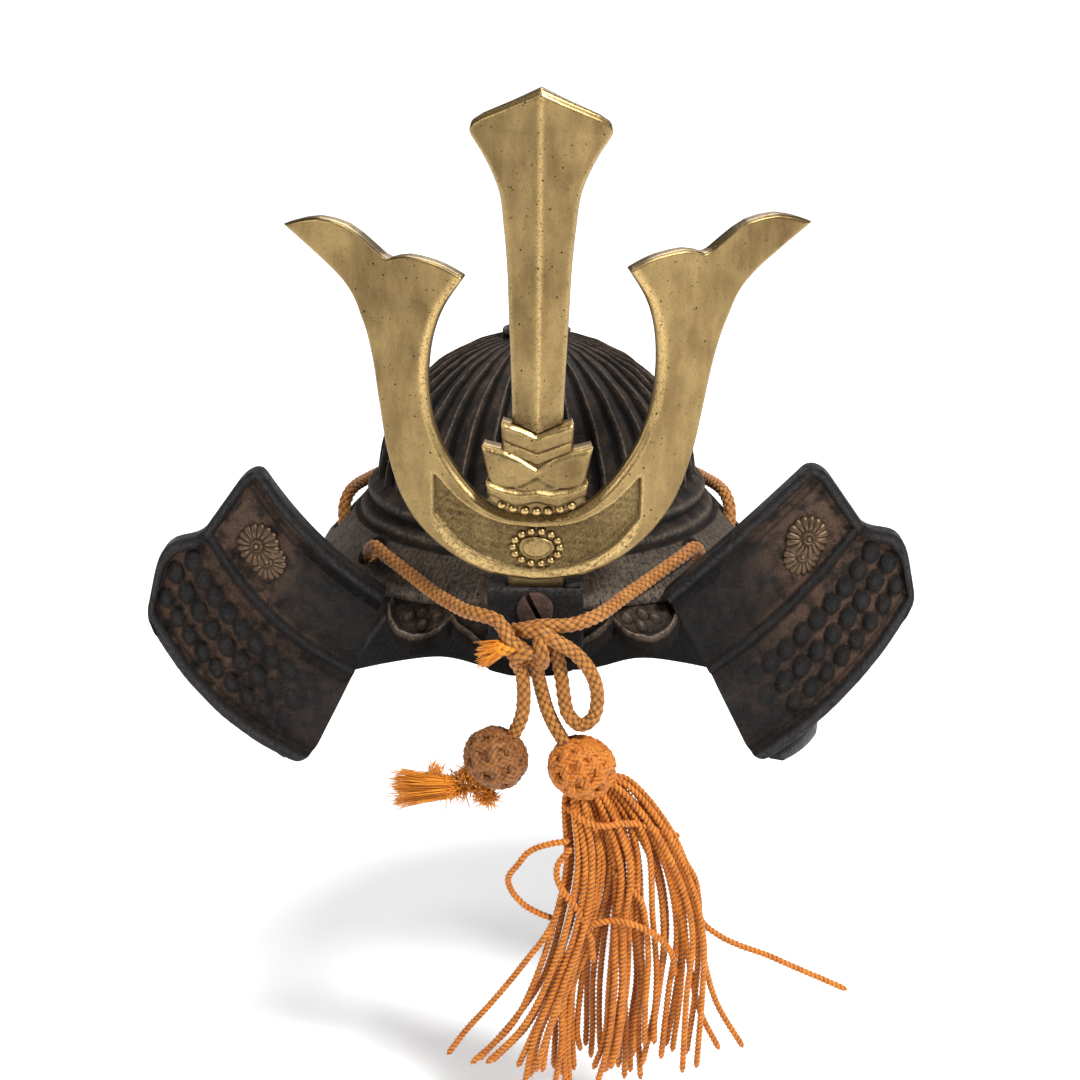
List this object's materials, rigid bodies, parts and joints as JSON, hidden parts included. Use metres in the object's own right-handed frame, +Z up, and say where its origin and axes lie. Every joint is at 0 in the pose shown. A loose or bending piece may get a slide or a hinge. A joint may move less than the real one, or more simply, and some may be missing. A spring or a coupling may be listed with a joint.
{
  "type": "ornamental samurai helmet",
  "caption": "Cast iron samurai helmet ornament with a ribbed bowl, scalloped peak, neck guard, flared turnbacks, a screwed-on brass crest and a braided tie cord with a tassel.",
  "frame": {"origin": "inner crown of the bowl, where a head or a stand's head form carries the helmet", "axes": "+Z up, -Y towards the crest at the front, +X towards the turnback that is on the right in a front view"},
  "size_m": [0.2141, 0.1972, 0.2741],
  "materials": {
    "iron_brown": "rough brown patinated cast iron, worn grey on the ribs and edges",
    "iron_black": "black painted cast iron, brown in the recesses and worn on the rims",
    "brass": "dull antique brass with dark pits and bright worn edges",
    "brass_dark": "dark bronze-brown cast ornament",
    "screw_iron": "reddish brown rusted screw head",
    "cord": "golden orange braided rayon cord",
    "fray": "bright orange frayed fibre"
  },
  "bodies": {
    "root": {"bowl": "iron_brown", "crown_knob": "iron_brown", "peak": "iron_brown", "neck_guard": "iron_black", "turnback_left": "iron_black", "turnback_right": "iron_black", "flower_crest_left": "brass_dark", "flower_crest_right": "brass_dark", "crest_horns": "brass", "crest_medallion": "brass", "crest_blade": "brass", "crest_socket": "brass", "crest_holder": "iron_black", "crest_screw": "screw_iron", "tie_cord": "cord", "front_knot": "cord", "frayed_stub": "fray", "bow_loop": "cord", "left_tail": "cord", "ball_knot": "cord", "frayed_tuft": "fray", "right_tail": "cord", "tassel": "cord"}
  },
  "joints": []
}
